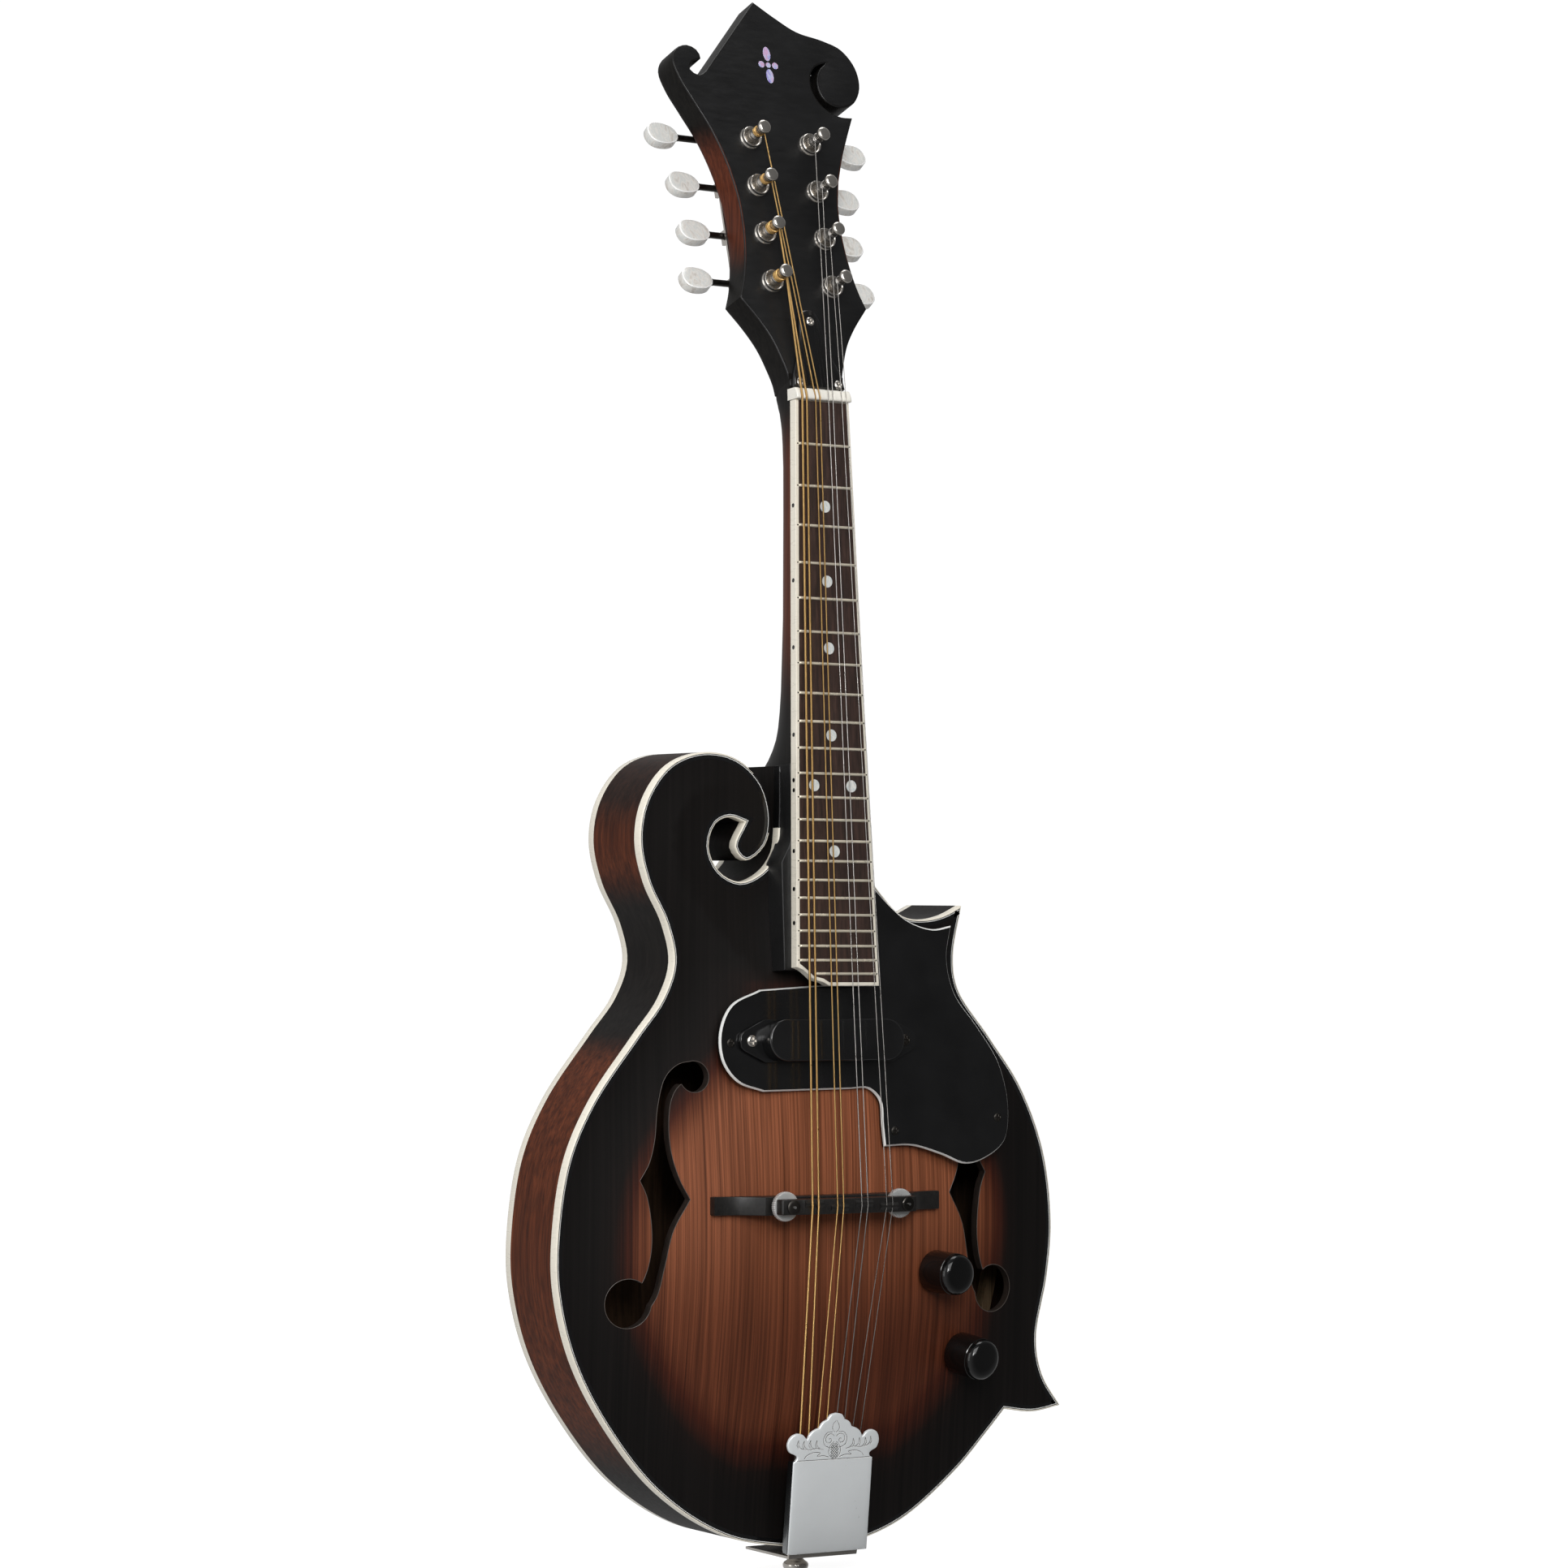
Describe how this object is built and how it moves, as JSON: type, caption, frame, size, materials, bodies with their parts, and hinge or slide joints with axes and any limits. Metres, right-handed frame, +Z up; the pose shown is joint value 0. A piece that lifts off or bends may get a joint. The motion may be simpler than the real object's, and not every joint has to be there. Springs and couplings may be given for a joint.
{
  "type": "mandolin",
  "caption": "Scroll-body electric-acoustic mandolin with paired strings, floating bridge, pickup, worm-gear tuners and slide-on tailpiece cover.",
  "frame": {"origin": "centre of the strap button's end face, at the tail", "axes": "+Z up along the body's centreline to the headstock, -Y out of the soundboard, +X towards the treble side"},
  "size_m": [0.2622, 0.1041, 0.6986],
  "materials": {
    "soundboard": "gloss brown sunburst lacquer over fine straight grain",
    "mahogany": "gloss dark mahogany lacquer",
    "neck_wood": "satin black face over dark mahogany",
    "cream_binding": "cream binding, gloss",
    "inner_spruce": "unfinished spruce",
    "inner_mahogany": "unfinished mahogany",
    "steel": "plain steel",
    "black_plastic": "black gloss with a white bevelled edge",
    "bone": "polished bone",
    "rosewood": "oiled dark rosewood",
    "ebony": "satin black hardwood",
    "chrome": "polished chrome plating",
    "pearloid": "pearloid button on a blackened steel shaft",
    "wound_string": "bronze-wound steel",
    "plain_string": "plain steel"
  },
  "bodies": {
    "root": {"top_plate": "soundboard", "back_plate": "mahogany", "rim": "mahogany", "binding_front": "cream_binding", "binding_back": "cream_binding", "lining_front": "inner_spruce", "lining_back": "inner_spruce", "neck_block": "inner_mahogany", "tail_block": "inner_mahogany", "tone_bar_bass": "inner_spruce", "tone_bar_treble": "inner_spruce", "neck": "neck_wood", "truss_rod": "steel", "truss_rod_cover": "black_plastic", "nut": "bone", "fretboard": "rosewood", "fretboard_binding": "cream_binding", "bridge_base": "ebony", "bridge_stud_bass": "steel", "bridge_stud_treble": "steel", "pickguard": "black_plastic", "pickup": "black_plastic", "pot_volume": "steel", "pot_tone": "steel", "output_jack": "chrome", "tailpiece_base": "chrome", "strap_button": "chrome", "tuner_plate_bass": "chrome", "tuner_plate_treble": "chrome", "string_1": "wound_string", "string_2": "wound_string", "string_3": "wound_string", "string_4": "wound_string", "string_5": "plain_string", "string_6": "plain_string", "string_7": "plain_string", "string_8": "plain_string"},
    "saddle": {"bridge_saddle": "ebony"},
    "wheel_bass": {"bridge_wheel_bass": "chrome"},
    "wheel_treble": {"bridge_wheel_treble": "chrome"},
    "volume_knob": {"knob_volume": "black_plastic"},
    "tone_knob": {"knob_tone": "black_plastic"},
    "tailpiece_cover": {"tailpiece_cover": "chrome"},
    "truss_rod_nut": {"truss_rod_nut": "steel"},
    "button_1": {"tuner_button_1": "pearloid"},
    "post_1": {"tuner_post_1": "chrome"},
    "button_2": {"tuner_button_2": "pearloid"},
    "post_2": {"tuner_post_2": "chrome"},
    "button_3": {"tuner_button_3": "pearloid"},
    "post_3": {"tuner_post_3": "chrome"},
    "button_4": {"tuner_button_4": "pearloid"},
    "post_4": {"tuner_post_4": "chrome"},
    "button_5": {"tuner_button_5": "pearloid"},
    "post_5": {"tuner_post_5": "chrome"},
    "button_6": {"tuner_button_6": "pearloid"},
    "post_6": {"tuner_post_6": "chrome"},
    "button_7": {"tuner_button_7": "pearloid"},
    "post_7": {"tuner_post_7": "chrome"},
    "button_8": {"tuner_button_8": "pearloid"},
    "post_8": {"tuner_post_8": "chrome"}
  },
  "joints": [
    {"name": "button_1_turn", "type": "hinge", "parent": "root", "child": "button_1", "pos_m": [-0.02, 0.02635, 0.56671], "axis": [1, 0, 0], "continuous": true},
    {"name": "post_1_turn", "type": "hinge", "parent": "root", "child": "post_1", "pos_m": [-0.0156, 0.00639, 0.56621], "axis": [0, -0.9588, 0.284], "continuous": true},
    {"name": "button_2_turn", "type": "hinge", "parent": "root", "child": "button_2", "pos_m": [-0.02, 0.0329, 0.58881], "axis": [1, 0, 0], "continuous": true},
    {"name": "post_2_turn", "type": "hinge", "parent": "root", "child": "post_2", "pos_m": [-0.0156, 0.01294, 0.58831], "axis": [0, -0.9588, 0.284], "continuous": true},
    {"name": "button_3_turn", "type": "hinge", "parent": "root", "child": "button_3", "pos_m": [-0.02, 0.03945, 0.61091], "axis": [1, 0, 0], "continuous": true},
    {"name": "post_3_turn", "type": "hinge", "parent": "root", "child": "post_3", "pos_m": [-0.0156, 0.01948, 0.61041], "axis": [0, -0.9588, 0.284], "continuous": true},
    {"name": "button_4_turn", "type": "hinge", "parent": "root", "child": "button_4", "pos_m": [-0.02, 0.04599, 0.63301], "axis": [1, 0, 0], "continuous": true},
    {"name": "post_4_turn", "type": "hinge", "parent": "root", "child": "post_4", "pos_m": [-0.0156, 0.02603, 0.63251], "axis": [0, -0.9588, 0.284], "continuous": true},
    {"name": "button_5_turn", "type": "hinge", "parent": "root", "child": "button_5", "pos_m": [0.02, 0.02635, 0.56671], "axis": [1, 0, 0], "continuous": true},
    {"name": "post_5_turn", "type": "hinge", "parent": "root", "child": "post_5", "pos_m": [0.0156, 0.00639, 0.56621], "axis": [0, -0.9588, 0.284], "continuous": true},
    {"name": "button_6_turn", "type": "hinge", "parent": "root", "child": "button_6", "pos_m": [0.02, 0.0329, 0.58881], "axis": [1, 0, 0], "continuous": true},
    {"name": "post_6_turn", "type": "hinge", "parent": "root", "child": "post_6", "pos_m": [0.0156, 0.01294, 0.58831], "axis": [0, -0.9588, 0.284], "continuous": true},
    {"name": "button_7_turn", "type": "hinge", "parent": "root", "child": "button_7", "pos_m": [0.02, 0.03945, 0.61091], "axis": [1, 0, 0], "continuous": true},
    {"name": "post_7_turn", "type": "hinge", "parent": "root", "child": "post_7", "pos_m": [0.0156, 0.01948, 0.61041], "axis": [0, -0.9588, 0.284], "continuous": true},
    {"name": "button_8_turn", "type": "hinge", "parent": "root", "child": "button_8", "pos_m": [0.02, 0.04599, 0.63301], "axis": [1, 0, 0], "continuous": true},
    {"name": "post_8_turn", "type": "hinge", "parent": "root", "child": "post_8", "pos_m": [0.0156, 0.02603, 0.63251], "axis": [0, -0.9588, 0.284], "continuous": true},
    {"name": "volume_knob_turn", "type": "hinge", "parent": "root", "child": "volume_knob", "pos_m": [0.057, -0.02024, 0.1305], "axis": [0.154, -0.9874, -0.0361], "range_deg": [-150, 150]},
    {"name": "tone_knob_turn", "type": "hinge", "parent": "root", "child": "tone_knob", "pos_m": [0.0748, -0.01478, 0.0934], "axis": [0.1309, -0.9832, -0.1274], "range_deg": [-150, 150]},
    {"name": "wheel_bass_turn", "type": "hinge", "parent": "saddle", "child": "wheel_bass", "pos_m": [-0.0294, -0.0351, 0.162], "axis": [0, 1, 0], "range_deg": [0, 720]},
    {"name": "wheel_treble_turn", "type": "hinge", "parent": "saddle", "child": "wheel_treble", "pos_m": [0.0294, -0.0351, 0.162], "axis": [0, 1, 0], "range_deg": [0, 720]},
    {"name": "saddle_lower", "type": "slide", "parent": "root", "child": "saddle", "axis": [0, 1, 0], "range_m": [0, 0.0014]},
    {"name": "tailpiece_cover_slide", "type": "slide", "parent": "root", "child": "tailpiece_cover", "axis": [0, 0.0958, -0.9954], "range_m": [0, 0.035]},
    {"name": "truss_rod_nut_turn", "type": "hinge", "parent": "root", "child": "truss_rod_nut", "pos_m": [0, -0.00061, 0.52419], "axis": [0, 0.0698, 0.9976], "range_deg": [-180, 180]}
  ],
  "couplings": [
    {"joint": "post_1_turn", "follows": "button_1_turn", "ratio": -0.071429},
    {"joint": "post_2_turn", "follows": "button_2_turn", "ratio": -0.071429},
    {"joint": "post_3_turn", "follows": "button_3_turn", "ratio": -0.071429},
    {"joint": "post_4_turn", "follows": "button_4_turn", "ratio": -0.071429},
    {"joint": "post_5_turn", "follows": "button_5_turn", "ratio": 0.071429},
    {"joint": "post_6_turn", "follows": "button_6_turn", "ratio": 0.071429},
    {"joint": "post_7_turn", "follows": "button_7_turn", "ratio": 0.071429},
    {"joint": "post_8_turn", "follows": "button_8_turn", "ratio": 0.071429},
    {"joint": "wheel_treble_turn", "follows": "wheel_bass_turn", "ratio": 1},
    {"joint": "saddle_lower", "follows": "wheel_bass_turn", "m_per_rad": 0.00011141}
  ]
}
